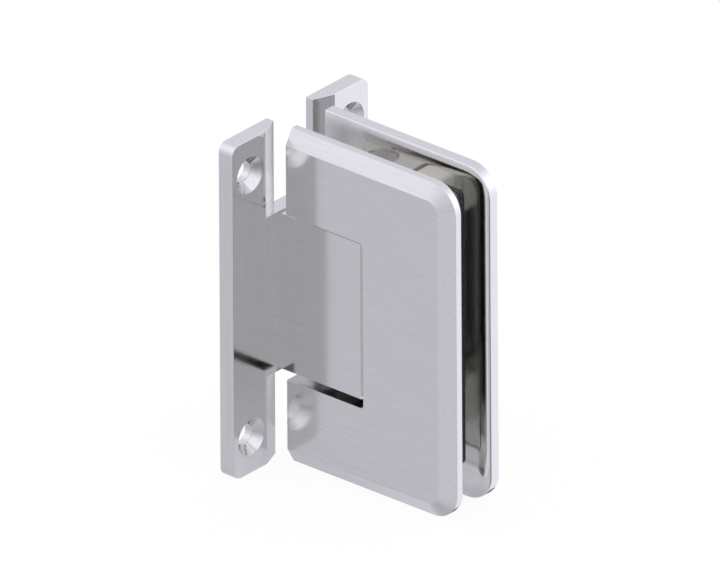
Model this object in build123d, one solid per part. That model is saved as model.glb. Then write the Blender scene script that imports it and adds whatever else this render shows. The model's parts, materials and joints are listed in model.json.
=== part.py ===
"""Wall to glass hinge for a frameless shower door, with a full wall plate and bevelled clamps.

Frame: the origin is the centre of the wall plate's back face, +X points from the wall into the
door, +Y points to the rear clamp plate and +Z points up. All lengths are in millimetres.
"""
from build123d import *
import os
from dataclasses import dataclass
from math import hypot

# Wall plate
WALL_PLATE_HEIGHT = 90.0
WALL_PLATE_WIDTH = 50.0
WALL_PLATE_THICKNESS = 4.4
WALL_PLATE_CORNER_RADIUS = 2.5
WALL_NOTCH_WIDTH = 14.4
WALL_NOTCH_CHAMFER_WIDTH = 5.65
WALL_NOTCH_CHAMFER_DEPTH = 2.2
WALL_WEB_OVERHANG = 0.5
WALL_HOLE_SPACING_Y = 37.0
WALL_HOLE_SPACING_Z = 71.0
WALL_HOLE_DIAMETER = 5.2
WALL_COUNTERSINK_DIAMETER = 9.7

# Clamp plates and the glass between them
CLAMP_HEIGHT = 90.0
CLAMP_WIDTH = 52.0
CLAMP_THICKNESS = 4.55
CLAMP_CORNER_RADIUS = 7.5
CLAMP_SETBACK = 14.0
CLAMP_NOTCH_CORNER_RADIUS = 1.0
CLAMP_BEVEL_WIDTH = 4.0
FRONT_LAND = 2.25
REAR_LAND = 3.05
CLAMP_INNER_EDGE_RADIUS = 0.5
GLASS_THICKNESS = 8.0
GLASS_CUTOUT_TO_FAR_EDGE = 17.0
GASKET_THICKNESS = 1.0
GASKET_HEIGHT = 74.0
GASKET_FAR_INSET = 8.7
GASKET_CORNER_RADIUS = 1.5

# Pivot block
BLOCK_HEIGHT = 42.0
BLOCK_WIDTH = 15.5
BLOCK_END_TO_PIVOT = 10.2
BLOCK_SCREW_SPACING = 32.0
BLOCK_SCREW_LENGTH = 14.0

# Pivot pin, bushes and thrust washers
PIN_DIAMETER = 8.0
PIN_FLAT_WIDTH = 6.8
PIN_FLATS_LENGTH = 23.0
PIN_END_INSET = 0.5
PIN_CHAMFER = 0.5
BUSH_WALL = 1.25
BUSH_LENGTH = 8.0
WASHER_THICKNESS = 1.2
WASHER_DIAMETER = 12.6

# Spring plungers that press on the pin's flats
PLUNGER_DIAMETER = 7.6
PLUNGER_LENGTH = 6.5
PLUNGER_SPACING = 13.0
PLUNGER_NOSE_CHAMFER = 0.7
PLUNGER_POCKET_DIAMETER = 5.9
PLUNGER_POCKET_DEPTH = 3.5
SPRING_WIRE_DIAMETER = 0.8
SPRING_OUTER_DIAMETER = 5.4
SPRING_TURNS = 4.5
SPRING_SCREW_DIAMETER = 10.0
SPRING_SCREW_LENGTH = 3.5
SPRING_SCREW_SOCKET = 5.0
SPRING_SCREW_INSET = 0.5

# Pin holders, which join the pin's ends to the front clamp plate
HOLDER_HEIGHT = 13.0
HOLDER_LENGTH = 20.2
HOLDER_POCKET_DEPTH = 1.0
HOLDER_REAR_GAP = 0.75
HOLDER_SCREW_LENGTH = 13.5
LOCK_SCREW_DIAMETER = 5.0
LOCK_SCREW_LENGTH = 6.0
LOCK_SCREW_SOCKET = 2.5
FASTENER_ROW_PITCH = 5.6
FASTENER_COLUMN_OFFSET = 6.8

# Clamp screws, their bosses and the sleeves that keep the glass off the bosses
CLAMP_SCREW_LENGTH = 12.0
BOSS_WIDTH = 6.5
BOSS_HEIGHT = 11.2
BOSS_CORNER_RADIUS = 0.6
BOSS_REAR_GAP = 2.0
BOSS_FROM_PIVOT = 14.5
SLEEVE_WALL = 0.65
SLEEVE_REAR_GAP = 0.4

# Clearances
SWING_CLEARANCE = 0.3
WALL_SWING_CLEARANCE = 0.65
THRUST_CLEARANCE = 0.1
RUNNING_CLEARANCE = 0.05
BORE_RELIEF = 0.3
SEAT_CLEARANCE = 0.02
THREAD_CLEARANCE = 0.05
SCREW_HOLE_CLEARANCE = 0.25
HEAD_INSET = 0.1
POCKET_CLEARANCE = 0.1

# How far a cutter runs past the face that it opens
CUT_MARGIN = 1.0


@dataclass(frozen=True)
class ScrewSize:
    """A countersunk socket screw: thread, head and socket sizes and the straight rim."""

    thread: float
    head: float
    socket: float
    socket_depth: float
    rim: float = 0.3

    @property
    def head_depth(self):
        """Depth of the head from its top to the end of its ninety degree cone."""
        return self.rim + (self.head - self.thread) / 2


LARGE_SCREW = ScrewSize(thread=5.0, head=9.2, socket=3.0, socket_depth=2.0)
SMALL_SCREW = ScrewSize(thread=3.0, head=5.6, socket=2.0, socket_depth=1.2)

# Places that follow from the sizes above
INNER_FACE = GLASS_THICKNESS / 2 + GASKET_THICKNESS
OUTER_FACE = INNER_FACE + CLAMP_THICKNESS
SWING_RADIUS = hypot(CLAMP_SETBACK, OUTER_FACE)
PIVOT_X = WALL_PLATE_THICKNESS + SWING_RADIUS + WALL_SWING_CLEARANCE
CLAMP_START_X = PIVOT_X - CLAMP_SETBACK
CLAMP_END_X = CLAMP_START_X + CLAMP_WIDTH
CLAMP_NOTCH_X = PIVOT_X + BLOCK_END_TO_PIVOT
BLOCK_END_RADIUS = hypot(BLOCK_END_TO_PIVOT, INNER_FACE) - SWING_CLEARANCE
BLOCK_TOP = BLOCK_HEIGHT / 2
WASHER_TOP = BLOCK_TOP + WASHER_THICKNESS
NOTCH_TOP = WASHER_TOP + THRUST_CLEARANCE
WEB_TOP = BLOCK_TOP + WALL_WEB_OVERHANG
PIN_RADIUS = PIN_DIAMETER / 2
PIN_TOP = NOTCH_TOP + HOLDER_HEIGHT - PIN_END_INSET
BUSH_RADIUS = PIN_RADIUS + RUNNING_CLEARANCE + BUSH_WALL
PLUNGER_NOSE_X = PIVOT_X - PIN_RADIUS - RUNNING_CLEARANCE
PLUNGER_TRAVEL = (PIN_DIAMETER - PIN_FLAT_WIDTH) / 2
SPRING_SCREW_END_X = WALL_PLATE_THICKNESS + SPRING_SCREW_INSET + SPRING_SCREW_LENGTH
HOLDER_FRONT = -INNER_FACE - HOLDER_POCKET_DEPTH
HOLDER_REAR = INNER_FACE + HOLDER_POCKET_DEPTH - HOLDER_REAR_GAP
HOLDER_WALL_X = PIVOT_X - HOLDER_LENGTH / 2
HOLDER_DOOR_X = PIVOT_X + HOLDER_LENGTH / 2
HOLDER_MIDDLE = NOTCH_TOP + HOLDER_HEIGHT / 2
INNER_ROW = HOLDER_MIDDLE - FASTENER_ROW_PITCH / 2
OUTER_ROW = HOLDER_MIDDLE + FASTENER_ROW_PITCH / 2
WALL_COLUMN_X = PIVOT_X - FASTENER_COLUMN_OFFSET
DOOR_COLUMN_X = PIVOT_X + FASTENER_COLUMN_OFFSET
BOSS_X = PIVOT_X + BOSS_FROM_PIVOT
BOSS_TIP = INNER_FACE - BOSS_REAR_GAP
CLAMP_SCREW_TOP = OUTER_FACE - HEAD_INSET
UP_AND_DOWN = (1, -1)
TO_DOOR = (1, 0, 0)
TO_WALL = (-1, 0, 0)
TO_FRONT = (0, -1, 0)
UP = (0, 0, 1)


def block_between(low, high):
    """A rectangular block from its lowest corner to its highest corner."""
    size = [b - a for a, b in zip(low, high)]
    middle = [(a + b) / 2 for a, b in zip(low, high)]
    return Pos(*middle) * Box(*size)


def rod(start, direction, diameter, length):
    """A round rod, or the cutter of a bore, from a start point along a direction."""
    stick = Cylinder(diameter / 2, length, align=(Align.CENTER, Align.CENTER, Align.MIN))
    return Plane(origin=start, z_dir=direction) * stick


def turned(outline):
    """A solid of revolution about Z from (radius, height) points."""
    return revolve(make_face(Polyline(*[(r, 0, z) for r, z in outline], close=True)), Axis.Z)


def hexagon_socket(across_flats, depth):
    """A hexagon socket's cutter, from the height zero downwards."""
    return extrude(RegularPolygon(across_flats / 2, 6, major_radius=False), -depth)


def countersunk_screw(size, length):
    """A socket screw that points down from the height zero, with a small lead at its tip."""
    thread = size.thread / 2
    tip = thread - 0.15 * size.thread
    outline = [
        (0, 0),
        (size.head / 2, 0),
        (size.head / 2, -size.rim),
        (thread, -size.head_depth),
        (thread, -length + thread - tip),
        (tip, -length),
        (0, -length),
    ]
    return turned(outline) - hexagon_socket(size.socket, size.socket_depth)


def countersunk_hole(size, depth):
    """The cutter of a screw's countersink and of its clearance hole, downwards from zero."""
    head = size.head / 2 + SEAT_CLEARANCE
    shank = size.thread / 2 + SCREW_HOLE_CLEARANCE
    rim = HEAD_INSET + size.rim
    outline = [
        (0, HEAD_INSET),
        (head, HEAD_INSET),
        (head, -rim),
        (shank, -rim - head + shank),
        (shank, -depth),
        (0, -depth),
    ]
    return turned(outline)


def set_screw(diameter, length, socket, socket_depth):
    """A headless socket screw that points down from the height zero."""
    lead = 0.1 * diameter
    radius = diameter / 2
    outline = [
        (0, 0),
        (radius, 0),
        (radius, -length + lead),
        (radius - lead, -length),
        (0, -length),
    ]
    return turned(outline) - hexagon_socket(socket, socket_depth)


def aimed(shape, start, direction):
    """Move a piece that points down so that it starts at a point and points along a direction."""
    away = tuple(-step for step in direction)
    return Plane(origin=start, z_dir=away) * shape


def wall_hole_places():
    """The centres of the four wall screw holes, as (y, z)."""
    half_y = WALL_HOLE_SPACING_Y / 2
    half_z = WALL_HOLE_SPACING_Z / 2
    return [(y, z) for y in (-half_y, half_y) for z in (-half_z, half_z)]


def wall_hole():
    """The cutter of one wall screw hole: a round hole under a ninety degree countersink."""
    hole = WALL_HOLE_DIAMETER / 2
    sink = WALL_COUNTERSINK_DIAMETER / 2
    depth = WALL_PLATE_THICKNESS + CUT_MARGIN
    outline = [
        (0, CUT_MARGIN),
        (sink, CUT_MARGIN),
        (sink, 0),
        (hole, hole - sink),
        (hole, -depth),
        (0, -depth),
    ]
    return turned(outline)


def notch_section():
    """The outline of a wall plate notch seen from above: a slot with a wide chamfer each side."""
    half = WALL_NOTCH_WIDTH / 2
    outer = half + WALL_NOTCH_CHAMFER_WIDTH
    face = WALL_PLATE_THICKNESS
    foot = face - WALL_NOTCH_CHAMFER_DEPTH
    points = [
        (-CUT_MARGIN, -half),
        (foot, -half),
        (face, -outer),
        (face + CUT_MARGIN, -outer),
    ]
    mirrored = [(x, -y) for x, y in reversed(points)]
    return make_face(Polyline(*points, *mirrored, close=True))


def wall_plate():
    """The H-shaped plate that is screwed to the wall, with its notches, chamfers and holes."""
    outline = RectangleRounded(WALL_PLATE_WIDTH, WALL_PLATE_HEIGHT, WALL_PLATE_CORNER_RADIUS)
    back = Plane(origin=(0, 0, 0), x_dir=(0, 1, 0), z_dir=TO_DOOR)
    plate = extrude(back * outline, WALL_PLATE_THICKNESS)
    notch_height = WALL_PLATE_HEIGHT / 2 - WEB_TOP + CUT_MARGIN
    fixing_hole = countersunk_hole(LARGE_SCREW, WALL_PLATE_THICKNESS + CUT_MARGIN)
    for side in UP_AND_DOWN:
        section = Pos(0, 0, side * WEB_TOP) * notch_section()
        plate -= extrude(section, side * notch_height, dir=UP)
        plate -= aimed(fixing_hole, (0, 0, side * BLOCK_SCREW_SPACING / 2), TO_DOOR)
    for y, z in wall_hole_places():
        plate -= aimed(wall_hole(), (WALL_PLATE_THICKNESS, y, z), TO_WALL)
    return plate


def block_outline():
    """The pivot block seen from above: straight sides and an end that is round about the pin."""
    half = BLOCK_WIDTH / 2
    straight_end = PIVOT_X + (BLOCK_END_RADIUS**2 - half**2) ** 0.5
    sides = Polyline(
        (straight_end, half),
        (WALL_PLATE_THICKNESS, half),
        (WALL_PLATE_THICKNESS, -half),
        (straight_end, -half),
    )
    end = ThreePointArc((straight_end, -half), (PIVOT_X + BLOCK_END_RADIUS, 0), (straight_end, half))
    return make_face([sides, end])


def pivot_block():
    """The block that stands out from the wall plate and holds the bushes and the plungers."""
    block = Pos(0, 0, -BLOCK_TOP) * extrude(block_outline(), BLOCK_HEIGHT)
    relief = PIN_DIAMETER + 2 * BORE_RELIEF
    block -= rod((PIVOT_X, 0, -BLOCK_TOP), UP, relief, BLOCK_HEIGHT)
    face = WALL_PLATE_THICKNESS
    plunger_bore = PLUNGER_DIAMETER + 2 * RUNNING_CLEARANCE
    spring_thread = SPRING_SCREW_DIAMETER + 2 * THREAD_CLEARANCE
    thread_depth = SPRING_SCREW_END_X + SPRING_SCREW_INSET - face
    fixing_thread = LARGE_SCREW.thread + 2 * THREAD_CLEARANCE
    fixing_depth = BLOCK_SCREW_LENGTH - face + CUT_MARGIN
    for side in UP_AND_DOWN:
        seat = (PIVOT_X, 0, side * (BLOCK_TOP - BUSH_LENGTH))
        block -= rod(seat, (0, 0, side), 2 * (BUSH_RADIUS + SEAT_CLEARANCE), BUSH_LENGTH)
        plunger_height = side * PLUNGER_SPACING / 2
        block -= rod((face, 0, plunger_height), TO_DOOR, plunger_bore, PIVOT_X - face)
        block -= rod((face, 0, plunger_height), TO_DOOR, spring_thread, thread_depth)
        block -= rod((face, 0, side * BLOCK_SCREW_SPACING / 2), TO_DOOR, fixing_thread, fixing_depth)
    return block


def block_screws():
    """The two screws that hold the pivot block, from the back of the wall plate."""
    screw = countersunk_screw(LARGE_SCREW, BLOCK_SCREW_LENGTH)
    heights = [side * BLOCK_SCREW_SPACING / 2 for side in UP_AND_DOWN]
    return [aimed(screw, (HEAD_INSET, 0, z), TO_DOOR) for z in heights]


def bush(side):
    """A plain bush, flush with the block's end, in which the pin turns."""
    start = (PIVOT_X, 0, side * (BLOCK_TOP - BUSH_LENGTH))
    bore = PIN_DIAMETER + 2 * RUNNING_CLEARANCE
    sleeve = rod(start, (0, 0, side), 2 * BUSH_RADIUS, BUSH_LENGTH)
    return sleeve - rod(start, (0, 0, side), bore, BUSH_LENGTH)


def thrust_washer(side):
    """A washer on the block's end that takes the weight of the door from the pin holder."""
    start = (PIVOT_X, 0, side * BLOCK_TOP)
    bore = PIN_DIAMETER + 2 * BORE_RELIEF
    ring = rod(start, (0, 0, side), WASHER_DIAMETER, WASHER_THICKNESS)
    return ring - rod(start, (0, 0, side), bore, WASHER_THICKNESS)


def pivot_pin():
    """The pin: round in the bushes and holders, and milled square where the plungers press."""
    pin = rod((PIVOT_X, 0, -PIN_TOP), UP, PIN_DIAMETER, 2 * PIN_TOP)
    pin = chamfer(pin.edges().filter_by(GeomType.CIRCLE), PIN_CHAMFER)
    band = rod((PIVOT_X, 0, -PIN_FLATS_LENGTH / 2), UP, 2 * PIN_DIAMETER, PIN_FLATS_LENGTH)
    square = Pos(PIVOT_X, 0, 0) * Box(PIN_FLAT_WIDTH, PIN_FLAT_WIDTH, PIN_FLATS_LENGTH)
    return pin - (band - square)


def plunger(side):
    """A plunger with a flat nose and a pocket for its spring, held back by the pin's corners."""
    nose = PLUNGER_DIAMETER / 2
    back = -PLUNGER_LENGTH
    floor = back + PLUNGER_POCKET_DEPTH
    pocket = PLUNGER_POCKET_DIAMETER / 2
    outline = [
        (0, 0),
        (nose - PLUNGER_NOSE_CHAMFER, 0),
        (nose, -PLUNGER_NOSE_CHAMFER),
        (nose, back),
        (pocket, back),
        (pocket, floor),
        (0, floor),
    ]
    return aimed(turned(outline), (PLUNGER_NOSE_X, 0, side * PLUNGER_SPACING / 2), TO_WALL)


def plunger_spring(side):
    """The compression spring between a plunger's pocket and its set screw."""
    radius = (SPRING_OUTER_DIAMETER - SPRING_WIRE_DIAMETER) / 2
    end_gap = SPRING_WIRE_DIAMETER / 2 + SEAT_CLEARANCE
    pocket_floor_x = PLUNGER_NOSE_X - PLUNGER_LENGTH + PLUNGER_POCKET_DEPTH
    height = pocket_floor_x - SPRING_SCREW_END_X - 2 * end_gap
    path = Helix(pitch=height / SPRING_TURNS, height=height, radius=radius)
    section = Plane(origin=path @ 0, z_dir=path % 0) * Circle(SPRING_WIRE_DIAMETER / 2)
    coil = sweep(section, path=path)
    start = (SPRING_SCREW_END_X + end_gap, 0, side * PLUNGER_SPACING / 2)
    return Plane(origin=start, z_dir=TO_DOOR) * coil


def spring_screws():
    """The two set screws that close the plunger bores and load the springs."""
    length = SPRING_SCREW_LENGTH
    screw = set_screw(SPRING_SCREW_DIAMETER, length, SPRING_SCREW_SOCKET, length / 2)
    start_x = WALL_PLATE_THICKNESS + SPRING_SCREW_INSET
    heights = [side * PLUNGER_SPACING / 2 for side in UP_AND_DOWN]
    return [aimed(screw, (start_x, 0, z), TO_DOOR) for z in heights]


def clamp_outline():
    """The clamp plate seen from the front: two rounded far corners and a notch for the block."""
    half = CLAMP_HEIGHT / 2
    points = [
        (CLAMP_START_X, -half),
        (CLAMP_END_X, -half),
        (CLAMP_END_X, half),
        (CLAMP_START_X, half),
    ]
    outline = make_face(Polyline(*points, close=True))
    far_corners = outline.vertices().sort_by(Axis.X)[-2:]
    return fillet(far_corners, CLAMP_CORNER_RADIUS)


def clamp_notch():
    """The cutter of the notch that clears the pivot block, round at its two inner corners."""
    low = (CLAMP_START_X - CUT_MARGIN, -2 * OUTER_FACE, -NOTCH_TOP)
    notch = block_between(low, (CLAMP_NOTCH_X, 2 * OUTER_FACE, NOTCH_TOP))
    inner_corners = notch.edges().filter_by(Axis.Y).sort_by(Axis.X)[-2:]
    return fillet(inner_corners, CLAMP_NOTCH_CORNER_RADIUS)


def clamp_blank(side, land):
    """A clamp plate on its side of the glass, bevelled outside and eased inside on three edges."""
    inner = Plane(origin=(0, side * INNER_FACE, 0), x_dir=TO_DOOR, z_dir=(0, side, 0))
    outline = clamp_outline()
    if side > 0:
        outline = mirror(outline, about=Plane.XZ)
    plate = extrude(inner * outline, CLAMP_THICKNESS)
    outer_face = plate.faces().sort_by(Axis.Y)[-1 if side > 0 else 0]
    outer_edges = outer_face.edges().sort_by(Axis.X)[1:]
    plate = chamfer(outer_edges, CLAMP_BEVEL_WIDTH, CLAMP_THICKNESS - land, reference=outer_face)
    inner_face = plate.faces().sort_by(Axis.Y)[0 if side > 0 else -1]
    inner_edges = inner_face.edges().sort_by(Axis.X)[1:]
    plate = fillet(inner_edges, CLAMP_INNER_EDGE_RADIUS)
    return plate - clamp_notch()


def holder_pocket(side_z, side_y):
    """The cutter of the shallow pocket in a clamp plate that locates a pin holder."""
    floor = side_y * (INNER_FACE + HOLDER_POCKET_DEPTH)
    open_side = side_y * (INNER_FACE - CUT_MARGIN)
    inner_end = side_z * (NOTCH_TOP - POCKET_CLEARANCE)
    outer_end = side_z * (NOTCH_TOP + HOLDER_HEIGHT + POCKET_CLEARANCE)
    low = (HOLDER_WALL_X - POCKET_CLEARANCE, min(floor, open_side), min(inner_end, outer_end))
    high = (HOLDER_DOOR_X + POCKET_CLEARANCE, max(floor, open_side), max(inner_end, outer_end))
    return block_between(low, high)


def boss(side, growth, rear_end, front_end):
    """A rectangular boss with rounded corners, or a larger one grown by a wall all round."""
    width = BOSS_WIDTH + 2 * growth
    height = BOSS_HEIGHT + 2 * growth
    section = RectangleRounded(width, height, BOSS_CORNER_RADIUS + growth)
    start = Plane(origin=(BOSS_X, rear_end, side * HOLDER_MIDDLE), x_dir=TO_DOOR, z_dir=TO_FRONT)
    return extrude(start * section, rear_end - front_end)


def front_clamp_plate():
    """The front plate, whose threaded bosses and holder pockets do not show from outside."""
    plate = clamp_blank(-1, FRONT_LAND)
    thread = LARGE_SCREW.thread + 2 * THREAD_CLEARANCE
    thread_depth = BOSS_TIP - (CLAMP_SCREW_TOP - CLAMP_SCREW_LENGTH) + CUT_MARGIN
    small_thread = SMALL_SCREW.thread + 2 * THREAD_CLEARANCE
    screw_tip = HOLDER_REAR - HEAD_INSET - HOLDER_SCREW_LENGTH
    small_thread_depth = HOLDER_FRONT - screw_tip + SEAT_CLEARANCE
    for side in UP_AND_DOWN:
        plate += boss(side, 0, BOSS_TIP, -INNER_FACE - CUT_MARGIN)
        plate -= rod((BOSS_X, BOSS_TIP, side * OUTER_ROW), TO_FRONT, thread, thread_depth)
        plate -= holder_pocket(side, -1)
        for x, z in holder_screw_places(side):
            plate -= rod((x, HOLDER_FRONT, z), TO_FRONT, small_thread, small_thread_depth)
    return plate


def rear_clamp_plate():
    """The rear plate, with four countersunk holes and the pockets for the pin holders."""
    plate = clamp_blank(1, REAR_LAND)
    hole = countersunk_hole(LARGE_SCREW, CLAMP_THICKNESS + CUT_MARGIN)
    for side in UP_AND_DOWN:
        plate -= holder_pocket(side, 1)
        for x in (WALL_COLUMN_X, BOSS_X):
            plate -= aimed(hole, (x, OUTER_FACE, side * OUTER_ROW), TO_FRONT)
    return plate


def holder_screw_places(side):
    """The two screws of one pin holder, as (x, z): a diagonal pair beside the pin."""
    return [(WALL_COLUMN_X, side * INNER_ROW), (DOOR_COLUMN_X, side * OUTER_ROW)]


def pin_holder(side):
    """A block that grips one end of the pin, sits in both pockets and takes a clamp screw."""
    low_z = min(side * NOTCH_TOP, side * (NOTCH_TOP + HOLDER_HEIGHT))
    low = (HOLDER_WALL_X, HOLDER_FRONT, low_z)
    holder = block_between(low, (HOLDER_DOOR_X, HOLDER_REAR, low_z + HOLDER_HEIGHT))
    holder -= rod((PIVOT_X, 0, low_z), UP, PIN_DIAMETER + 2 * SEAT_CLEARANCE, HOLDER_HEIGHT)
    clamp_thread = LARGE_SCREW.thread + 2 * THREAD_CLEARANCE
    depth = HOLDER_REAR - HOLDER_FRONT
    holder -= rod((WALL_COLUMN_X, HOLDER_REAR, side * OUTER_ROW), TO_FRONT, clamp_thread, depth)
    lock_thread = LOCK_SCREW_DIAMETER + 2 * THREAD_CLEARANCE
    holder -= rod((HOLDER_DOOR_X, 0, side * INNER_ROW), TO_WALL, lock_thread, HOLDER_LENGTH / 2)
    hole = countersunk_hole(SMALL_SCREW, depth + CUT_MARGIN)
    for x, z in holder_screw_places(side):
        holder -= aimed(hole, (x, HOLDER_REAR, z), TO_FRONT)
    return holder


def holder_screws():
    """The four screws that hold the pin holders to the front clamp plate."""
    screw = countersunk_screw(SMALL_SCREW, HOLDER_SCREW_LENGTH)
    places = [place for side in UP_AND_DOWN for place in holder_screw_places(side)]
    return [aimed(screw, (x, HOLDER_REAR - HEAD_INSET, z), TO_FRONT) for x, z in places]


def pin_lock_screws():
    """The two set screws that lock the pin's ends in the holders."""
    length = LOCK_SCREW_LENGTH
    screw = set_screw(LOCK_SCREW_DIAMETER, length, LOCK_SCREW_SOCKET, length / 3)
    start_x = PIVOT_X + PIN_RADIUS + SEAT_CLEARANCE + length
    return [aimed(screw, (start_x, 0, side * INNER_ROW), TO_WALL) for side in UP_AND_DOWN]


def clamp_screws():
    """The four screws that draw the rear plate on to the glass."""
    screw = countersunk_screw(LARGE_SCREW, CLAMP_SCREW_LENGTH)
    places = [(x, side * OUTER_ROW) for side in UP_AND_DOWN for x in (WALL_COLUMN_X, BOSS_X)]
    return [aimed(screw, (x, CLAMP_SCREW_TOP, z), TO_FRONT) for x, z in places]


def boss_sleeves():
    """The two soft sleeves round the threaded bosses."""
    rear_end = INNER_FACE - SLEEVE_REAR_GAP
    sleeves = []
    for side in UP_AND_DOWN:
        bore = boss(side, POCKET_CLEARANCE, rear_end, -INNER_FACE)
        sleeves.append(boss(side, POCKET_CLEARANCE + SLEEVE_WALL, rear_end, -INNER_FACE) - bore)
    return sleeves


def gasket(side):
    """A flat gasket between a clamp plate and the glass, beside the glass cut-out."""
    near = CLAMP_END_X - GLASS_CUTOUT_TO_FAR_EDGE
    far = CLAMP_END_X - GASKET_FAR_INSET
    sheet = RectangleRounded(far - near, GASKET_HEIGHT, GASKET_CORNER_RADIUS)
    glass_face = (0, side * GLASS_THICKNESS / 2, 0)
    against_glass = Plane(origin=glass_face, x_dir=TO_DOOR, z_dir=TO_FRONT)
    return extrude(against_glass * Pos((near + far) / 2, 0) * sheet, -side * GASKET_THICKNESS)


def pieces():
    """Every piece of the hinge under the name of its node."""
    return {
        "wall_plate": wall_plate(),
        "pivot_block": pivot_block(),
        "block_screws": block_screws(),
        "upper_bush": bush(1),
        "lower_bush": bush(-1),
        "upper_thrust_washer": thrust_washer(1),
        "lower_thrust_washer": thrust_washer(-1),
        "upper_plunger": plunger(1),
        "lower_plunger": plunger(-1),
        "upper_spring": plunger_spring(1),
        "lower_spring": plunger_spring(-1),
        "spring_screws": spring_screws(),
        "pivot_pin": pivot_pin(),
        "upper_pin_holder": pin_holder(1),
        "lower_pin_holder": pin_holder(-1),
        "holder_screws": holder_screws(),
        "pin_lock_screws": pin_lock_screws(),
        "front_clamp_plate": front_clamp_plate(),
        "rear_clamp_plate": rear_clamp_plate(),
        "clamp_screws": clamp_screws(),
        "boss_sleeves": boss_sleeves(),
        "front_gasket": gasket(-1),
        "rear_gasket": gasket(1),
    }


os.makedirs("parts", exist_ok=True)
for node, shape in pieces().items():
    solids = shape if isinstance(shape, list) else shape.solids()
    export_step(Compound(children=list(solids)), f"parts/{node}.step")
print(f"pivot axis at x = {PIVOT_X:.4f}, plunger travel = {PLUNGER_TRAVEL:.2f}")
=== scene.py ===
"""Glass door hinge in satin nickel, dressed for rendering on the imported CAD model.

Lengths are in metres in the CAD's own frame: +X from the wall into the door, +Y towards
the rear clamp plate and +Z up along the pivot.
"""

import json
import logging
from dataclasses import dataclass, field, replace
from enum import Enum

import bmesh
import bpy
import numpy as np
from mathutils import Matrix, Vector

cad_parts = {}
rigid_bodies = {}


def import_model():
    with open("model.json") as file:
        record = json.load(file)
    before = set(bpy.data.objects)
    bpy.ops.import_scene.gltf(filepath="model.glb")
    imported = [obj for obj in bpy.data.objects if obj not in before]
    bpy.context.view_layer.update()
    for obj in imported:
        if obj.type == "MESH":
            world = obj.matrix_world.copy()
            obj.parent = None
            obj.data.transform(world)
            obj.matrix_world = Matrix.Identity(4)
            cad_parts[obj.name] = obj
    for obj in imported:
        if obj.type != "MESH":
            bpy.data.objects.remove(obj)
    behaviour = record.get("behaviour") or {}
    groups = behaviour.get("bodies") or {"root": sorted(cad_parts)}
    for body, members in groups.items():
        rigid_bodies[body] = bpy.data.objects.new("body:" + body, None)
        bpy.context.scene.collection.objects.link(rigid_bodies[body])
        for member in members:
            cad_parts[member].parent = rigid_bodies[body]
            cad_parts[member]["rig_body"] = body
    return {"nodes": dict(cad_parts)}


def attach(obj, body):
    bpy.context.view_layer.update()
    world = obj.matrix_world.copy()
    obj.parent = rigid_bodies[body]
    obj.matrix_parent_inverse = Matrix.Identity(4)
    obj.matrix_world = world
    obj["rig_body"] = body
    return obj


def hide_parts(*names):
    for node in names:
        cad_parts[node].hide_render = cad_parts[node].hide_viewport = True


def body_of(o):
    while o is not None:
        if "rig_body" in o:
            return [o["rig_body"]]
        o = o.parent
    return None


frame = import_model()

LOG = logging.getLogger("hinge")

MM = 0.001

# Between these two values lies nearly all of a noise pattern.
NOISE_LOW, NOISE_HIGH = 0.3, 0.7

# Corners of a CAD node's loose triangles that are nearer than this are one corner, and
# neighbouring triangles that turn by less than this lie in one flat face.
SAME_CORNER = 0.002 * MM
SAME_FACE_DEGREES = 0.4


def linear(hex_colour: str) -> tuple[float, float, float, float]:
    """Turns an sRGB hex colour into linear light.

    Each channel c below 0.04045 is divided by 12.92, and any other is
    ((c + 0.055) / 1.055) to the power 2.4.

    Args:
        hex_colour: The colour as six hex digits after a hash sign.

    Returns:
        Red, green, blue and an alpha of 1.
    """
    digits = hex_colour.lstrip("#")
    channels = np.array([int(digits[i : i + 2], 16) for i in (0, 2, 4)]) / 255
    low = channels / 12.92
    high = ((channels + 0.055) / 1.055) ** 2.4
    red, green, blue = np.where(channels <= 0.04045, low, high)
    return float(red), float(green), float(blue), 1.0


def add_node(
    tree: bpy.types.NodeTree,
    kind: str,
    inputs: dict[str | int, object] | None = None,
    links: dict[str | int, bpy.types.NodeSocket] | None = None,
    **settings: object,
) -> bpy.types.Node:
    """Adds one node with its settings, its fixed inputs and its links.

    Args:
        tree: The node tree that gets the node.
        kind: The node's Blender type name.
        inputs: Fixed values by input name or number.
        links: Output sockets of other nodes by input name or number.
        settings: The node's own properties.

    Returns:
        The new node.
    """
    node = tree.nodes.new(kind)
    for key, value in settings.items():
        setattr(node, key, value)
    for key, value in (inputs or {}).items():
        node.inputs[key].default_value = value
    for key, socket in (links or {}).items():
        tree.links.new(socket, node.inputs[key])
    return node


def empty_material(name: str) -> tuple[bpy.types.Material, bpy.types.NodeTree]:
    """Makes a material with an empty node tree.

    Args:
        name: The finish's name.

    Returns:
        The material and its node tree.
    """
    material = bpy.data.materials.new(name)
    material.use_nodes = True
    material.node_tree.nodes.clear()
    return material, material.node_tree


class Brushing(Enum):
    """The way that the lines of a brushed face run, as the pattern's scale along each axis."""

    ALONG_DOOR = (0.03, 1.0, 1.0)
    UPRIGHT = (1.0, 1.0, 0.03)
    ROUND_ABOUT = (1.0, 1.0, 1.0)


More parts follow.
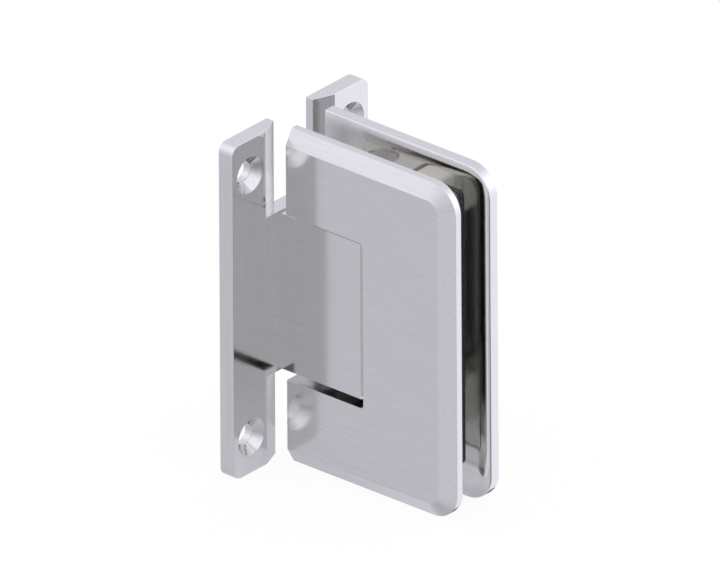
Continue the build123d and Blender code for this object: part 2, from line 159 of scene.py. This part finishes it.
@dataclass(frozen=True)
class BrushedMetal:
    """A metal worked by abrasive, with fine lines and an even sheen.

    Attributes:
        name: What the metal is and how it was finished.
        colour: Its colour at normal incidence, as sRGB hex.
        roughness: Spread of the reflections between the lines.
        brushing: The way that the lines run.
        line_mm: Distance between neighbouring lines.
        depth_mm: Height of the lines.
        stroke_mm: Distance between the strokes of the brush that the eye can tell apart.
        stroke_change: How much lighter or darker such a stroke is.
        patch_mm: Size of the slow changes in sheen left by buffing and handling.
        patch_change: How much those patches change the roughness.
    """

    name: str
    colour: str
    roughness: float
    brushing: Brushing
    line_mm: float
    depth_mm: float
    stroke_mm: float = 0.3
    stroke_change: float = 0.03
    patch_mm: float = 14.0
    patch_change: float = 0.02

    def shades(self) -> tuple[tuple[float, ...], tuple[float, ...]]:
        """Works out the colours of the darkest and the lightest strokes.

        They are the metal's own colour times 1 less and 1 plus the stroke's change, and no
        channel of the lightest goes past 1.

        Returns:
            The darkest and the lightest colour, in linear light.
        """
        base = np.array(linear(self.colour)[:3])
        dark = np.append(base * (1 - self.stroke_change), 1.0)
        light = np.append(np.minimum(base * (1 + self.stroke_change), 1.0), 1.0)
        return tuple(dark.tolist()), tuple(light.tolist())

    def material(self) -> bpy.types.Material:
        """Builds the node material on Object coordinates.

        The lines are a stretched noise that works as bump, and the strokes are a coarser one
        that changes the colour. Slow patches change the roughness.

        Returns:
            The material.
        """
        material, tree = empty_material(self.name)
        place = add_node(tree, "ShaderNodeTexCoord").outputs["Object"]
        stretched = add_node(
            tree,
            "ShaderNodeMapping",
            inputs={"Scale": self.brushing.value},
            links={"Vector": place},
        )
        lines = add_node(
            tree,
            "ShaderNodeTexNoise",
            inputs={"Scale": 1 / (2 * self.line_mm * MM), "Detail": 3.0, "Roughness": 0.6},
            links={"Vector": stretched.outputs["Vector"]},
        )
        strokes = add_node(
            tree,
            "ShaderNodeTexNoise",
            inputs={"Scale": 1 / (2 * self.stroke_mm * MM), "Detail": 2.0, "Roughness": 0.7},
            links={"Vector": stretched.outputs["Vector"]},
        )
        patches = add_node(
            tree,
            "ShaderNodeTexNoise",
            inputs={"Scale": 1 / (self.patch_mm * MM), "Detail": 2.0},
            links={"Vector": place},
        )
        sheen = add_node(
            tree,
            "ShaderNodeMapRange",
            inputs={
                "From Min": NOISE_LOW,
                "From Max": NOISE_HIGH,
                "To Min": self.roughness - self.patch_change,
                "To Max": self.roughness + self.patch_change,
            },
            links={"Value": patches.outputs["Fac"]},
        )
        tone = add_node(
            tree,
            "ShaderNodeMapRange",
            inputs={"From Min": NOISE_LOW, "From Max": NOISE_HIGH},
            links={"Value": strokes.outputs["Fac"]},
        )
        dark, light = self.shades()
        colour = add_node(
            tree,
            "ShaderNodeMix",
            data_type="RGBA",
            inputs={6: dark, 7: light},
            links={0: tone.outputs["Result"]},
        )
        bump = add_node(
            tree,
            "ShaderNodeBump",
            inputs={"Strength": 1.0, "Distance": self.depth_mm * MM},
            links={"Height": lines.outputs["Fac"]},
        )
        shader = add_node(
            tree,
            "ShaderNodeBsdfPrincipled",
            inputs={"Metallic": 1.0},
            links={
                "Base Color": colour.outputs[2],
                "Roughness": sheen.outputs["Result"],
                "Normal": bump.outputs["Normal"],
            },
        )
        add_node(
            tree,
            "ShaderNodeOutputMaterial",
            links={"Surface": shader.outputs["BSDF"]},
        )
        return material


@dataclass(frozen=True)
class BuffedInside:
    """A clamp plate's inner face, buffed bright, so that its rim is slightly rolled off.

    The wheel wears the face down towards the plate's rounded outline. With d the distance
    to that outline and w the width of the worn border, the face is lower by
    fall * (1 - d / w) squared. Beside the wall the wheel doesn't reach, so the face stays
    satin there.

    Attributes:
        name: What the metal is and how it was finished.
        colour: Its colour at normal incidence, as sRGB hex.
        roughness: Spread of the reflections where the wheel reaches.
        satin_roughness: Spread of the reflections beside the wall.
        satin_to_mm: Place along X where the wheel begins to reach.
        buffed_from_mm: Place along X from which the face is bright.
        far_mm: Place of the outline's far edge along X.
        half_height_mm: Half of the outline's height.
        corner_mm: Radius of its far corners.
        border_mm: Width of the worn border.
        fall_mm: How much lower the face is at the outline.
        ripple_mm: Distance between the wheel's faint ripples.
        ripple_depth_mm: Height of the ripples.
    """

    name: str
    colour: str
    roughness: float
    satin_roughness: float = 0.4
    satin_to_mm: float = 18.5
    buffed_from_mm: float = 22.0
    far_mm: float = 60.0
    half_height_mm: float = 45.0
    corner_mm: float = 7.5
    border_mm: float = 4.0
    fall_mm: float = 0.8
    ripple_mm: float = 2.5
    ripple_depth_mm: float = 0.0002

    def worn_height(self, tree: bpy.types.NodeTree, place: bpy.types.NodeSocket) -> bpy.types.Node:
        """Adds the nodes for the height of the worn face.

        With q the place's distances past the centres of the corner rounds, the distance to
        the outline is the corner radius less the length of q above zero, less the larger
        part of q where both are below zero.

        Args:
            tree: The material's node tree.
            place: The Object coordinates.

        Returns:
            The node whose value is the height, in metres.
        """
        parts = add_node(tree, "ShaderNodeSeparateXYZ", links={"Vector": place})
        along = add_node(
            tree,
            "ShaderNodeMath",
            operation="SUBTRACT",
            inputs={1: (self.far_mm - self.corner_mm) * MM},
            links={0: parts.outputs["X"]},
        )
        height = add_node(
            tree, "ShaderNodeMath", operation="ABSOLUTE", links={0: parts.outputs["Z"]}
        )
        upward = add_node(
            tree,
            "ShaderNodeMath",
            operation="SUBTRACT",
            inputs={1: (self.half_height_mm - self.corner_mm) * MM},
            links={0: height.outputs["Value"]},
        )
        past = add_node(
            tree,
            "ShaderNodeCombineXYZ",
            links={"X": along.outputs["Value"], "Z": upward.outputs["Value"]},
        )
        beyond = add_node(
            tree,
            "ShaderNodeVectorMath",
            operation="MAXIMUM",
            inputs={1: (0.0, 0.0, 0.0)},
            links={0: past.outputs["Vector"]},
        )
        outside = add_node(
            tree, "ShaderNodeVectorMath", operation="LENGTH", links={0: beyond.outputs["Vector"]}
        )
        larger = add_node(
            tree,
            "ShaderNodeMath",
            operation="MAXIMUM",
            links={0: along.outputs["Value"], 1: upward.outputs["Value"]},
        )
        inside = add_node(
            tree,
            "ShaderNodeMath",
            operation="MINIMUM",
            inputs={1: 0.0},
            links={0: larger.outputs["Value"]},
        )
        signed = add_node(
            tree,
            "ShaderNodeMath",
            operation="ADD",
            links={0: outside.outputs["Value"], 1: inside.outputs["Value"]},
        )
        nearness = add_node(
            tree,
            "ShaderNodeMapRange",
            inputs={
                "From Min": (self.corner_mm - self.border_mm) * MM,
                "From Max": self.corner_mm * MM,
            },
            links={"Value": signed.outputs["Value"]},
        )
        squared = add_node(
            tree,
            "ShaderNodeMath",
            operation="POWER",
            inputs={1: 2.0},
            links={0: nearness.outputs["Result"]},
        )
        return add_node(
            tree,
            "ShaderNodeMath",
            operation="MULTIPLY",
            inputs={1: -self.fall_mm * MM},
            links={0: squared.outputs["Value"]},
        )

    def material(self) -> bpy.types.Material:
        """Builds the node material on Object coordinates.

        The worn height works as bump, with the wheel's ripples on it. The roughness falls
        along X from satin to bright, by smoothstep.

        Returns:
            The material.
        """
        material, tree = empty_material(self.name)
        place = add_node(tree, "ShaderNodeTexCoord").outputs["Object"]
        worn = add_node(
            tree,
            "ShaderNodeBump",
            inputs={"Strength": 1.0, "Distance": 1.0},
            links={"Height": self.worn_height(tree, place).outputs["Value"]},
        )
        ripples = add_node(
            tree,
            "ShaderNodeTexNoise",
            inputs={"Scale": 1 / (2 * self.ripple_mm * MM), "Detail": 2.0},
            links={"Vector": place},
        )
        bump = add_node(
            tree,
            "ShaderNodeBump",
            inputs={"Strength": 1.0, "Distance": self.ripple_depth_mm * MM},
            links={"Height": ripples.outputs["Fac"], "Normal": worn.outputs["Normal"]},
        )
        parts = add_node(tree, "ShaderNodeSeparateXYZ", links={"Vector": place})
        reach = add_node(
            tree,
            "ShaderNodeMapRange",
            interpolation_type="SMOOTHSTEP",
            inputs={
                "From Min": self.satin_to_mm * MM,
                "From Max": self.buffed_from_mm * MM,
                "To Min": self.satin_roughness,
                "To Max": self.roughness,
            },
            links={"Value": parts.outputs["X"]},
        )
        shader = add_node(
            tree,
            "ShaderNodeBsdfPrincipled",
            inputs={"Base Color": linear(self.colour), "Metallic": 1.0},
            links={"Roughness": reach.outputs["Result"], "Normal": bump.outputs["Normal"]},
        )
        add_node(
            tree,
            "ShaderNodeOutputMaterial",
            links={"Surface": shader.outputs["BSDF"]},
        )
        return material


@dataclass(frozen=True)
class MouldedPlastic:
    """A moulded or cut polymer with a fine grain.

    Attributes:
        name: What the polymer is and how it was made.
        colour: Its colour, as sRGB hex.
        roughness: Its surface's roughness.
        grain_mm: Distance between the grain's bumps.
        depth_mm: Height of the grain.
        clearness: Share of the light that passes through it.
    """

    name: str
    colour: str
    roughness: float
    grain_mm: float
    depth_mm: float
    clearness: float = 0.0

    def material(self) -> bpy.types.Material:
        """Builds the node material on Object coordinates, with its grain as bump.

        Returns:
            The material.
        """
        material, tree = empty_material(self.name)
        place = add_node(tree, "ShaderNodeTexCoord").outputs["Object"]
        grain = add_node(
            tree,
            "ShaderNodeTexNoise",
            inputs={"Scale": 1 / (2 * self.grain_mm * MM), "Detail": 2.0},
            links={"Vector": place},
        )
        bump = add_node(
            tree,
            "ShaderNodeBump",
            inputs={"Strength": 1.0, "Distance": self.depth_mm * MM},
            links={"Height": grain.outputs["Fac"]},
        )
        shader = add_node(
            tree,
            "ShaderNodeBsdfPrincipled",
            inputs={
                "Base Color": linear(self.colour),
                "Roughness": self.roughness,
                "Transmission Weight": self.clearness,
            },
            links={"Normal": bump.outputs["Normal"]},
        )
        add_node(
            tree,
            "ShaderNodeOutputMaterial",
            links={"Surface": shader.outputs["BSDF"]},
        )
        return material


Finish = BrushedMetal | BuffedInside | MouldedPlastic

# Nickel's own colour: a pale grey with a trace of yellow.
NICKEL = "#E7E6E2"

# Satin nickel over forged brass: a soft grey mirror, drawn out along the brush's lines. The
# real lines are finer than the render can show, so the strokes are drawn as coarse as the eye
# sees them.
CLAMP_NICKEL = BrushedMetal(
    "satin nickel plate on brass, brushed along the door",
    NICKEL,
    roughness=0.14,
    brushing=Brushing.ALONG_DOOR,
    line_mm=0.12,
    depth_mm=0.0004,
)
# The same plating on the wall plate: its lines stand upright, across those of the clamp.
WALL_NICKEL = replace(
    CLAMP_NICKEL,
    name="satin nickel plate on brass, brushed upright",
    brushing=Brushing.UPRIGHT,
)
# The block is brushed the same way as the clamp plates, a little finer, so that its lines seem
# to carry on from theirs.
BLOCK_NICKEL = replace(
    CLAMP_NICKEL,
    name="satin nickel plate on brass, finely brushed",
    line_mm=0.1,
    depth_mm=0.0003,
)
# Nickel buffed on a soft wheel: nearly a mirror, so the gap shows the plates in each other.
INSIDE_NICKEL = BuffedInside("bright nickel plate on brass, buffed", NICKEL, roughness=0.09)
# Bare turned and milled brass: warm yellow with short, even tool lines.
MILLED_BRASS = BrushedMetal(
    "machined brass",
    "#E3BC70",
    roughness=0.3,
    brushing=Brushing.ALONG_DOOR,
    line_mm=0.2,
    depth_mm=0.0008,
)
# Ground steel: a cool sheen with fine lines round the pin.
GROUND_STEEL = BrushedMetal(
    "ground stainless steel",
    "#C4C3C1",
    roughness=0.2,
    brushing=Brushing.UPRIGHT,
    line_mm=0.1,
    depth_mm=0.0003,
)
# Cold headed steel: smooth and slightly uneven, without a direction.
SCREW_STEEL = BrushedMetal(
    "stainless steel, cold headed",
    "#C9C7C4",
    roughness=0.24,
    brushing=Brushing.ROUND_ABOUT,
    line_mm=0.3,
    depth_mm=0.0008,
)
# Drawn wire: darker and duller than the screws.
SPRING_STEEL = BrushedMetal(
    "drawn spring wire",
    "#A5A5A8",
    roughness=0.35,
    brushing=Brushing.ROUND_ABOUT,
    line_mm=0.1,
    depth_mm=0.0005,
)
# Moulded nylon: milky white with a soft sheen.
NYLON = MouldedPlastic("moulded natural nylon", "#F4F1E6", 0.3, grain_mm=0.3, depth_mm=0.002)
# Machined acetal, black with a soft sheen: its black is also painted shade, which keeps the gap
# above and below the block dark.
GAP_SHADE_BLACK_ACETAL = MouldedPlastic("black acetal", "#141415", 0.4, grain_mm=0.25, depth_mm=0.002)
# Soft vinyl sheet: clear, so the metal behind it shows through.
CLEAR_VINYL = MouldedPlastic(
    "clear soft vinyl sheet", "#F2F5F4", 0.12, grain_mm=0.6, depth_mm=0.001, clearness=1.0
)


@dataclass(frozen=True)
class SoftArea:
    """A lighter or darker area of the surround.

    Attributes:
        toward: Direction of its centre.
        edge: Cosine of the angle at which it fades out.
        change: Level that it adds at its centre.
    """

    toward: tuple[float, float, float]
    edge: float
    change: float


SOFT_AREAS = (
    # Low beyond the door's far edge: the dark line down the gap.
    SoftArea((0.885, 0.1, -0.46), 0.5, -0.6),
    # Low in front: the grey of the clamp's and the block's front faces.
    SoftArea((0.1, -0.8, -0.6), 0.0, -0.44),
    # Low behind the wall.
    SoftArea((-0.6, 0.1, -0.8), 0.4, -0.22),
    # High behind the wall: the grey of the faces that look up.
    SoftArea((-0.58, 0.67, 0.46), 0.3, -0.27),
    # Level beyond the rear clamp plate: the light far edges.
    SoftArea((0.5, 0.7, 0.0), 0.6, 0.38),
    # Straight behind: keeps the rear plate's face from clipping to white.
    SoftArea((0.0, 0.97, -0.2), 0.75, -0.35),
    # Small ones: the far bevel, the gap's dark line and the glints at the low far corners.
    SoftArea((0.29, -0.84, -0.46), 0.93, 0.04),
    SoftArea((0.9, -0.12, -0.42), 0.985, -0.25),
    SoftArea((-0.37, 0.67, -0.64), 0.94, -0.72),
)


@dataclass
class Studio:
    """A pale floor, a soft surround and a camera at the photograph's angle.

    Attributes:
        floor_z: Height of the floor, at the plates' lower ends.
        floor_half: Half of the floor's width.
        paper: The floor's colour, as sRGB hex.
        glow_share: Share of the floor's look that doesn't depend on the light, so that the
            floor stays white and the shadow faint.
        glow_level: Level of that share as the camera sees it.
        paper_level: Level of that share as metal and clear pieces see it.
        paper_seen_to: Distance from the origin up to which they see the floor.
        paper_gone_at: Distance from which they see only the surround.
        look_at: The point at the middle of the picture.
        right: The picture's direction to the right.
        up: The picture's upward direction.
        distance: Distance of the camera from that point.
        clip_start: Nearest distance that the camera sees.
        clip_end: Farthest distance that the camera sees.
        frame_width: Width that the picture shows.
        base_level: Level of the surround away from the soft areas.
        tint: The surround's colour, slightly blue as daylight is.
    """

    floor_z: float = -45 * MM
    floor_half: float = 3.0
    paper: str = "#F4F4F2"
    glow_share: float = 0.9
    glow_level: float = 1.02
    paper_level: float = 0.59
    paper_seen_to: float = 45 * MM
    paper_gone_at: float = 67.5 * MM
    look_at: Vector = field(default_factory=lambda: Vector((14.66, 9.81, -4.22)) * MM)
    right: Vector = field(default_factory=lambda: Vector((0.7583, 0.6519, -0.0051)))
    up: Vector = field(default_factory=lambda: Vector((-0.2942, 0.3491, 0.8897)))
    distance: float = 0.8
    clip_start: float = 0.01
    clip_end: float = 10.0
    frame_width: float = 173.3 * MM
    base_level: float = 1.06
    tint: tuple[float, float, float, float] = (0.985, 0.985, 1.12, 1.0)

    def camera(self) -> None:
        """Places a camera without perspective, as the photograph has none."""
        data = bpy.data.cameras.new("camera")
        data.type = "ORTHO"
        data.ortho_scale = self.frame_width
        data.clip_start, data.clip_end = self.clip_start, self.clip_end
        eye = bpy.data.objects.new("camera", data)
        right = self.right.normalized()
        back = right.cross(self.up).normalized()
        turn = Matrix((right, back.cross(right), back)).transposed()
        eye.matrix_world = Matrix.Translation(self.look_at + back * self.distance) @ turn.to_4x4()
        bpy.context.scene.collection.objects.link(eye)
        bpy.context.scene.camera = eye

    def surround(self) -> None:
        """Makes the world, which lights the object softly from all sides.

        The level is a constant plus the change of each soft area. An area's change fades out
        by smoothstep of the cosine of the angle between the direction and the area's centre.
        The camera sees plain white, also through clear pieces.
        """
        world = bpy.data.worlds.new("soft surround")
        world.use_nodes = True
        tree = world.node_tree
        tree.nodes.clear()
        direction = add_node(tree, "ShaderNodeTexCoord").outputs["Generated"]
        level = add_node(tree, "ShaderNodeMath", inputs={0: self.base_level, 1: 0.0})
        for area in SOFT_AREAS:
            nearness = add_node(
                tree,
                "ShaderNodeVectorMath",
                operation="DOT_PRODUCT",
                inputs={1: Vector(area.toward).normalized()},
                links={0: direction},
            )
            change = add_node(
                tree,
                "ShaderNodeMapRange",
                interpolation_type="SMOOTHSTEP",
                inputs={
                    "From Min": area.edge,
                    "From Max": 1.0,
                    "To Min": 0.0,
                    "To Max": area.change,
                },
                links={"Value": nearness.outputs["Value"]},
            )
            level = add_node(
                tree,
                "ShaderNodeMath",
                operation="ADD",
                links={0: level.outputs["Value"], 1: change.outputs["Result"]},
            )
        soft = add_node(
            tree,
            "ShaderNodeBackground",
            inputs={"Color": self.tint},
            links={"Strength": level.outputs["Value"]},
        )
        white = add_node(tree, "ShaderNodeBackground", inputs={"Color": (1.0, 1.0, 1.0, 1.0)})
        path = add_node(tree, "ShaderNodeLightPath")
        looked_at = add_node(
            tree,
            "ShaderNodeMath",
            operation="MAXIMUM",
            links={0: path.outputs["Is Camera Ray"], 1: path.outputs["Is Transmission Ray"]},
        )
        shown = add_node(
            tree,
            "ShaderNodeMixShader",
            links={
                "Fac": looked_at.outputs["Value"],
                1: soft.outputs["Background"],
                2: white.outputs["Background"],
            },
        )
        add_node(tree, "ShaderNodeOutputWorld", links={"Surface": shown.outputs["Shader"]})
        bpy.context.scene.world = world

    def floor(self) -> None:
        """Lays a pale floor that shows the object's faint shadow on white.

        Polished metal and clear pieces see the floor's dull paper close to the object, and
        the surround through it farther out. From beneath, the floor isn't seen at all.
        """
        corners = np.array([(-1, -1), (1, -1), (1, 1), (-1, 1)]) * self.floor_half
        points = np.column_stack([corners, np.full(4, self.floor_z)])
        mesh = bpy.data.meshes.new("floor")
        mesh.from_pydata(points.tolist(), [], [(0, 1, 2, 3)])
        floor = bpy.data.objects.new("floor", mesh)
        material, tree = empty_material("pale studio floor")
        paper = add_node(tree, "ShaderNodeBsdfDiffuse", inputs={"Color": linear(self.paper)})
        glow = add_node(tree, "ShaderNodeEmission", inputs={"Strength": self.glow_level})
        lit = add_node(
            tree,
            "ShaderNodeMixShader",
            inputs={"Fac": self.glow_share},
            links={1: paper.outputs["BSDF"], 2: glow.outputs["Emission"]},
        )
        dim = add_node(
            tree,
            "ShaderNodeEmission",
            inputs={"Color": self.tint, "Strength": self.paper_level},
        )
        dull = add_node(
            tree,
            "ShaderNodeMixShader",
            inputs={"Fac": self.glow_share},
            links={1: paper.outputs["BSDF"], 2: dim.outputs["Emission"]},
        )
        path = add_node(tree, "ShaderNodeLightPath")
        seen = add_node(
            tree,
            "ShaderNodeMixShader",
            links={
                "Fac": path.outputs["Is Camera Ray"],
                1: dull.outputs["Shader"],
                2: lit.outputs["Shader"],
            },
        )
        mirrored = add_node(
            tree,
            "ShaderNodeMath",
            operation="MAXIMUM",
            links={0: path.outputs["Is Glossy Ray"], 1: path.outputs["Is Transmission Ray"]},
        )
        place = add_node(tree, "ShaderNodeTexCoord").outputs["Object"]
        distance = add_node(tree, "ShaderNodeVectorMath", operation="LENGTH", links={0: place})
        farther = add_node(
            tree,
            "ShaderNodeMapRange",
            inputs={"From Min": self.paper_seen_to, "From Max": self.paper_gone_at},
            links={"Value": distance.outputs["Value"]},
        )
        through = add_node(
            tree,
            "ShaderNodeMath",
            operation="MULTIPLY",
            links={0: mirrored.outputs["Value"], 1: farther.outputs["Result"]},
        )
        side = add_node(tree, "ShaderNodeNewGeometry")
        beneath = add_node(
            tree,
            "ShaderNodeMath",
            operation="MULTIPLY",
            links={0: path.outputs["Is Camera Ray"], 1: side.outputs["Backfacing"]},
        )
        open_to = add_node(
            tree,
            "ShaderNodeMath",
            operation="MAXIMUM",
            links={0: through.outputs["Value"], 1: beneath.outputs["Value"]},
        )
        clear = add_node(tree, "ShaderNodeBsdfTransparent")
        shown = add_node(
            tree,
            "ShaderNodeMixShader",
            links={
                "Fac": open_to.outputs["Value"],
                1: seen.outputs["Shader"],
                2: clear.outputs["BSDF"],
            },
        )
        add_node(tree, "ShaderNodeOutputMaterial", links={"Surface": shown.outputs["Shader"]})
        mesh.materials.append(material)
        bpy.context.scene.collection.objects.link(floor)

    def build(self) -> None:
        """Sets the camera, the surround and the floor."""
        self.camera()
        self.surround()
        self.floor()
        bpy.context.scene.view_settings.view_transform = "Standard"


def material_of(finish: Finish) -> bpy.types.Material:
    """Finds the material of a finish, which is made on first use.

    Args:
        finish: The finish.

    Returns:
        Its material.
    """
    return bpy.data.materials.get(finish.name) or finish.material()


def dress(node: str, finish: Finish) -> None:
    """Gives a CAD node its finish through its own material slots.

    Args:
        node: The CAD node's name.
        finish: The finish that it gets.
    """
    mesh = frame["nodes"][node].data
    mesh.materials.clear()
    mesh.materials.append(material_of(finish))
    LOG.info("%s: %s, %d faces", node, finish.name, len(mesh.polygons))


def merged_mesh(node: str) -> bpy.types.Mesh:
    """Copies a CAD node's loose triangles into one closed mesh of flat faces.

    Args:
        node: The CAD node's name.

    Returns:
        The new mesh, without materials.
    """
    shape = bmesh.new()
    shape.from_mesh(frame["nodes"][node].data)
    bmesh.ops.remove_doubles(shape, verts=shape.verts, dist=SAME_CORNER)
    bmesh.ops.dissolve_limit(
        shape,
        angle_limit=np.radians(SAME_FACE_DEGREES),
        verts=shape.verts,
        edges=shape.edges,
    )
    mesh = bpy.data.meshes.new(f"{node}_finished")
    shape.to_mesh(mesh)
    shape.free()
    mesh.materials.clear()
    return mesh


def place_copy(mesh: bpy.types.Mesh, node: str) -> bpy.types.Object:
    """Puts a finished copy in the scene in the place of its CAD node.

    Args:
        mesh: The finished mesh.
        node: The CAD node that it stands for.

    Returns:
        The new object.
    """
    piece = bpy.data.objects.new(mesh.name, mesh)
    bpy.context.scene.collection.objects.link(piece)
    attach(piece, body_of(frame["nodes"][node])[0])
    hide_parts(node)
    LOG.info("%s: %s, %d faces", piece.name, mesh.materials[0].name, len(mesh.polygons))
    return piece


@dataclass
class EasedPiece:
    """A plated piece whose sharp edges are eased, as polishing leaves them.

    Attributes:
        node: The CAD node that it stands for.
        slot: The record's material slot; not used.
        finish: The finish of its outer faces.
        ease_mm: Width of the eased edges.
        inside: The finish of the flat faces that look at the glass, where that differs.
        inner_face_mm: Distance of those faces from the middle of the glass.
        off_level_mm: How far from that distance a face's middle may lie.
        straightness: Cosine of the angle by which such a face may lean.
        sharp_degrees: Turn from which an edge counts as sharp, and is eased.
        ease_steps: Faces across an eased edge.
        face_weight: How much the larger faces rule the shading there, where 50 is evenly.
    """

    node: str
    slot: str
    finish: BrushedMetal
    ease_mm: float = 0.2
    inside: BuffedInside | None = None
    inner_face_mm: float = 5.0
    off_level_mm: float = 0.01
    straightness: float = 0.99
    sharp_degrees: float = 20.0
    ease_steps: int = 2
    face_weight: int = 100

    def finish_inside(self, mesh: bpy.types.Mesh) -> None:
        """Gives the faces that look at the glass their own finish.

        Such a face's middle lies at the inner face's distance on either side, and the
        product of that place and its normal along Y is negative and nearly that distance,
        so that it faces straight across the gap.

        Args:
            mesh: The piece's mesh, which has its outer finish already.
        """
        mesh.materials.append(material_of(self.inside))
        count = len(mesh.polygons)
        centres = np.empty(3 * count)
        normals = np.empty(3 * count)
        mesh.polygons.foreach_get("center", centres)
        mesh.polygons.foreach_get("normal", normals)
        inner_face = self.inner_face_mm * MM
        level = np.abs(np.abs(centres[1::3]) - inner_face) < self.off_level_mm * MM
        across = centres[1::3] * normals[1::3] < -self.straightness * inner_face
        mesh.polygons.foreach_set("material_index", (level & across).astype(np.int32))

    def build(self) -> bpy.types.Object:
        """Makes the copy, dresses it and eases its edges.

        Returns:
            The finished piece.
        """
        mesh = merged_mesh(self.node)
        mesh.materials.append(material_of(self.finish))
        if self.inside is not None:
            self.finish_inside(mesh)
        mesh.shade_smooth()
        piece = place_copy(mesh, self.node)
        bevel = piece.modifiers.new("eased edges", "BEVEL")
        bevel.width = self.ease_mm * MM
        bevel.segments = self.ease_steps
        bevel.limit_method = "ANGLE"
        bevel.angle_limit = np.radians(self.sharp_degrees)
        bevel.use_clamp_overlap = True
        flatten = piece.modifiers.new("flat faces stay flat", "WEIGHTED_NORMAL")
        flatten.mode = "FACE_AREA"
        flatten.weight = self.face_weight
        return piece


@dataclass
class WallSide:
    """The wall plate and the pivot block, with the two screws that join them.

    Attributes:
        plate_ease_mm: Width of the wall plate's eased edges.
        block_ease_mm: Width of the block's eased edges.
    """

    plate_ease_mm: float = 0.4
    block_ease_mm: float = 0.2

    def build(self) -> None:
        """Dresses the plate, the block and their screws."""
        EasedPiece("wall_plate", "wall_plate_nickel", WALL_NICKEL, self.plate_ease_mm).build()
        EasedPiece("pivot_block", "block_nickel", BLOCK_NICKEL, self.block_ease_mm).build()
        dress("block_screws", SCREW_STEEL)


@dataclass
class Pivot:
    """The pin and what it turns in, and the plungers that hold the door shut or open.

    Attributes:
        pin: The pin's finish.
        bearing: The finish of the bushes and the thrust washers.
    """

    pin: BrushedMetal = GROUND_STEEL
    # Black acetal, whose black also paints the shade in the gap above and below the block.
    bearing: MouldedPlastic = GAP_SHADE_BLACK_ACETAL

    def build(self) -> None:
        """Dresses the pin, its bearings and the spring plungers."""
        dress("pivot_pin", self.pin)
        for end in ("upper", "lower"):
            dress(f"{end}_bush", self.bearing)
            dress(f"{end}_thrust_washer", self.bearing)
            dress(f"{end}_plunger", MILLED_BRASS)
            dress(f"{end}_spring", SPRING_STEEL)
        dress("spring_screws", SCREW_STEEL)


@dataclass
class GlassSide:
    """The two clamp plates, what joins them to the pin, and what touches the glass.

    Attributes:
        ease_mm: Width of the plates' eased edges.
        gasket_inset_mm: How far a gasket's finished faces stay back from the metal, so that
            light that passes through the sheet meets the plate.
    """

    ease_mm: float = 0.2
    gasket_inset_mm: float = 0.02

    def gasket(self, node: str) -> None:
        """Makes a clear gasket, slightly smaller than its CAD node about its own middle.

        Each side comes in by the inset, so a point's distance from the middle is multiplied
        by 1 less twice the inset over the sheet's size along that axis.

        Args:
            node: The CAD node's name.
        """
        mesh = merged_mesh(node)
        mesh.materials.append(material_of(CLEAR_VINYL))
        points = np.empty(3 * len(mesh.vertices))
        mesh.vertices.foreach_get("co", points)
        points = points.reshape(-1, 3)
        low, high = points.min(axis=0), points.max(axis=0)
        shrink = 1 - 2 * self.gasket_inset_mm * MM / (high - low)
        middle = (low + high) / 2
        points = middle + (points - middle) * shrink
        mesh.vertices.foreach_set("co", points.ravel())
        mesh.update()
        place_copy(mesh, node)

    def build(self) -> None:
        """Dresses the plates, the pin holders, the screws and the soft pieces."""
        for side in ("front", "rear"):
            EasedPiece(
                f"{side}_clamp_plate",
                "clamp_nickel",
                CLAMP_NICKEL,
                self.ease_mm,
                inside=INSIDE_NICKEL,
            ).build()
            self.gasket(f"{side}_gasket")
        for end in ("upper", "lower"):
            dress(f"{end}_pin_holder", BLOCK_NICKEL)
        for node in ("holder_screws", "clamp_screws", "pin_lock_screws"):
            dress(node, SCREW_STEEL)
        dress("boss_sleeves", NYLON)


def main() -> None:
    """Builds the studio and dresses every piece."""
    logging.basicConfig(level=logging.INFO, format="%(message)s")
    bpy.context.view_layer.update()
    Studio().build()
    WallSide().build()
    Pivot().build()
    GlassSide().build()


if __name__ == "__main__":
    main()
